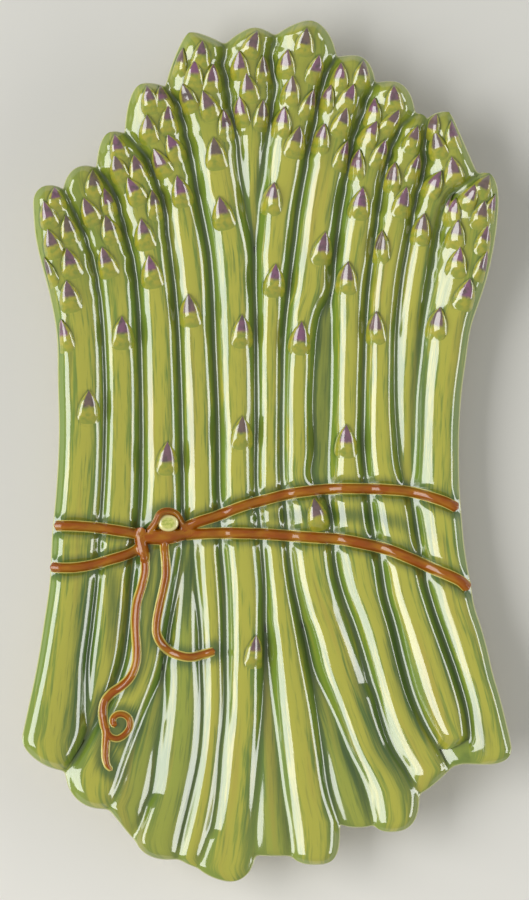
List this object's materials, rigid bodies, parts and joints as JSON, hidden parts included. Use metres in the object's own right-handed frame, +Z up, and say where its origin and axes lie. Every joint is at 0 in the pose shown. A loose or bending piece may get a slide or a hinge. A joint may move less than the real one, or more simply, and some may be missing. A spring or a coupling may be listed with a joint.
{
  "type": "asparagus plate",
  "caption": "Glazed earthenware serving plate in the shape of asparagus spears held by a moulded tie; scalloped rim of tips and cut butts, raised on a foot ring to carry food at table.",
  "frame": {"origin": "on the table, under the middle of the plate's outline", "axes": "X across the bundle, +Y from the cut butts to the tips, +Z up from the table"},
  "size_m": [0.2046, 0.36, 0.0299],
  "materials": {
    "spear_glaze": "gloss",
    "rear_glaze": "gloss",
    "body_glaze": "gloss",
    "scale_glaze": "gloss",
    "tie_glaze": "gloss",
    "button_glaze": "gloss",
    "foot_clay": "matt"
  },
  "bodies": {
    "root": {"plate_body": "body_glaze", "foot_ring": "foot_clay", "eyelet_button": "button_glaze", "spear_a": "spear_glaze", "spear_b": "spear_glaze", "spear_c": "spear_glaze", "spear_d": "spear_glaze", "spear_e": "spear_glaze", "spear_f": "spear_glaze", "spear_g": "spear_glaze", "spear_h": "spear_glaze", "spear_i": "spear_glaze", "spear_j": "spear_glaze", "spear_k": "spear_glaze", "spear_l": "spear_glaze", "rear_stalk_m": "rear_glaze", "rear_stalk_n": "rear_glaze", "rear_stalk_o": "rear_glaze", "rear_stalk_p": "rear_glaze", "rear_stalk_q": "rear_glaze", "spear_a_scales": "scale_glaze", "spear_b_scales": "scale_glaze", "spear_c_scales": "scale_glaze", "spear_d_scales": "scale_glaze", "spear_e_scales": "scale_glaze", "spear_f_scales": "scale_glaze", "spear_g_scales": "scale_glaze", "spear_h_scales": "scale_glaze", "spear_i_scales": "scale_glaze", "spear_j_scales": "scale_glaze", "spear_k_scales": "scale_glaze", "spear_l_scales": "scale_glaze", "tie_upper_left": "tie_glaze", "tie_lower_left": "tie_glaze", "tie_upper_right": "tie_glaze", "tie_lower_right": "tie_glaze", "tie_knot": "tie_glaze", "tie_wrap": "tie_glaze", "tie_eyelet": "tie_glaze", "tie_long_tail": "tie_glaze", "tie_curl": "tie_glaze", "tie_tail_end": "tie_glaze", "tie_short_tail": "tie_glaze"}
  },
  "joints": []
}
